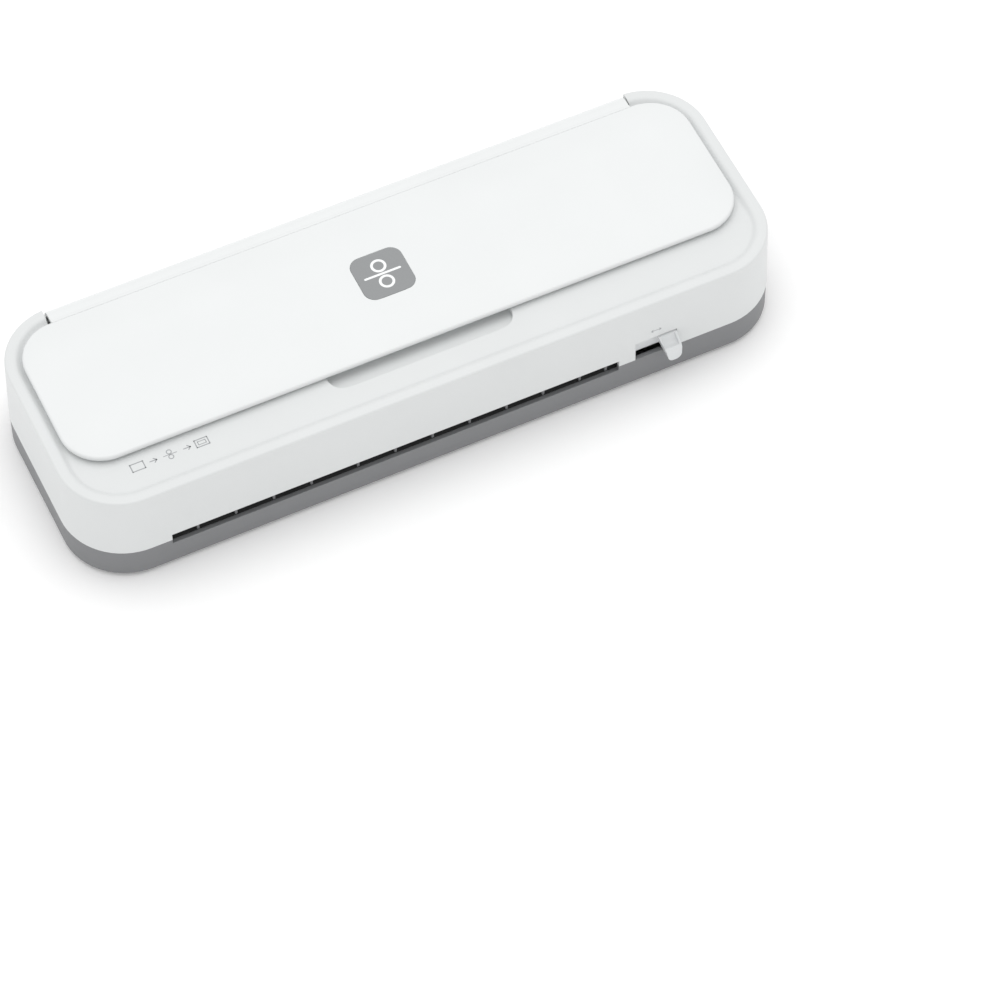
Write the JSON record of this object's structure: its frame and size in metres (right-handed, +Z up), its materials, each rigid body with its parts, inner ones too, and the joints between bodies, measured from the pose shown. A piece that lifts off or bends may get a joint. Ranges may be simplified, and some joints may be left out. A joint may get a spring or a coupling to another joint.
{
  "type": "pouch laminator",
  "caption": "Desktop A4 pouch laminator with a hinged lid over the feed slot, an exit slot at the front and a sliding release lever.",
  "frame": {"origin": "on the floor under the middle of the machine", "axes": "+X along the machine to the right seen from the exit slot, +Y to the lid's hinge at the back, +Z up"},
  "size_m": [0.369, 0.1374, 0.0623],
  "materials": {
    "white_shell": "fine satin moulded ABS",
    "grey_base": "fine satin moulded ABS",
    "pale_grey": "satin moulded ABS",
    "badge_grey": "flat printed foil",
    "black_plastic": "moulded glass-filled polyester",
    "gear_nylon": "moulded acetal",
    "plated_steel": "zinc plated",
    "shoe_aluminium": "extruded",
    "silicone": "ground silicone",
    "rubber": "matt",
    "board": "solder mask",
    "board_parts": "satin",
    "clear_lens": "polished acrylic"
  },
  "bodies": {
    "casing": {"base_shell": "grey_base", "upper_shell_front": "white_shell", "upper_shell_deck": "white_shell", "upper_shell_rear": "white_shell", "upper_shell_left": "white_shell", "upper_shell_right": "white_shell", "exit_guide_lower": "black_plastic", "exit_guide_upper": "black_plastic", "feed_guide_front": "black_plastic", "feed_guide_rear": "black_plastic", "side_frame_left": "plated_steel", "side_frame_right": "plated_steel", "tie_bar_front": "plated_steel", "tie_bar_rear": "plated_steel", "heater_shoe_upper": "shoe_aluminium", "heater_shoe_lower": "shoe_aluminium", "heater_element_upper": "shoe_aluminium", "heater_element_lower": "shoe_aluminium", "thermostat": "black_plastic", "thermal_fuse": "plated_steel", "lower_bush_left": "black_plastic", "lower_bush_right": "black_plastic", "gear_plate": "plated_steel", "drive_motor": "plated_steel", "idler_pin": "plated_steel", "control_board": "board", "board_parts": "board_parts", "switch_board": "board", "power_lens": "clear_lens", "ready_lens": "clear_lens", "cord_gland": "black_plastic", "case_screws": "plated_steel", "rubber_foot_1": "rubber", "rubber_foot_2": "rubber", "rubber_foot_3": "rubber", "rubber_foot_4": "rubber"},
    "lower_roller": {"lower_roller_shaft": "plated_steel", "lower_roller_sleeve": "silicone", "lower_roller_gear": "gear_nylon"},
    "pressure_carriage": {"upper_bush_left": "black_plastic", "upper_bush_right": "black_plastic", "nip_spring_left": "plated_steel", "nip_spring_right": "plated_steel"},
    "upper_roller": {"upper_roller_shaft": "plated_steel", "upper_roller_sleeve": "silicone", "upper_roller_gear": "gear_nylon"},
    "idler": {"idler_gear": "gear_nylon"},
    "pinion": {"motor_pinion": "gear_nylon"},
    "release": {"release_lever": "pale_grey", "release_slide": "black_plastic"},
    "button": {"power_button": "white_shell", "button_spring": "plated_steel"},
    "lid": {"lid_panel": "white_shell", "lid_liner": "pale_grey", "lid_badge": "badge_grey", "hinge_pin_left": "plated_steel", "hinge_pin_right": "plated_steel", "lid_bumper_left": "rubber", "lid_bumper_right": "rubber"}
  },
  "joints": [
    {"name": "lid_hinge", "type": "hinge", "parent": "casing", "child": "lid", "pos_m": [0, 0.0584, 0.048], "axis": [-1, 0, 0], "range_deg": [0, 105]},
    {"name": "release_slide", "type": "slide", "parent": "casing", "child": "release", "axis": [-1, 0, 0], "range_m": [0, 0.0085]},
    {"name": "nip_lift", "type": "slide", "parent": "casing", "child": "pressure_carriage", "axis": [0, 0, 1], "range_m": [0, 0.0012], "deforming": ["nip_spring_left", "nip_spring_right"]},
    {"name": "power_push", "type": "slide", "parent": "casing", "child": "button", "axis": [0, 0, -1], "range_m": [0, 0.0025], "stiffness_N_per_m": 400, "springref_m": -0.001, "deforming": ["button_spring"]},
    {"name": "lower_roller_spin", "type": "hinge", "parent": "casing", "child": "lower_roller", "pos_m": [0, -0.01552, 0.02485], "axis": [1, 0, 0], "continuous": true},
    {"name": "upper_roller_spin", "type": "hinge", "parent": "pressure_carriage", "child": "upper_roller", "pos_m": [0, -0.02048, 0.04215], "axis": [1, 0, 0], "continuous": true},
    {"name": "idler_spin", "type": "hinge", "parent": "casing", "child": "idler", "pos_m": [0.1, 0.00528, 0.02777], "axis": [1, 0, 0], "continuous": true},
    {"name": "pinion_spin", "type": "hinge", "parent": "casing", "child": "pinion", "pos_m": [0.1, 0.02363, 0.03269], "axis": [1, 0, 0], "continuous": true}
  ],
  "couplings": [
    {"joint": "nip_lift", "follows": "release_slide", "ratio": 0.14118},
    {"joint": "upper_roller_spin", "follows": "lower_roller_spin", "ratio": -1},
    {"joint": "idler_spin", "follows": "lower_roller_spin", "ratio": -0.75},
    {"joint": "pinion_spin", "follows": "lower_roller_spin", "ratio": 1.2857}
  ]
}
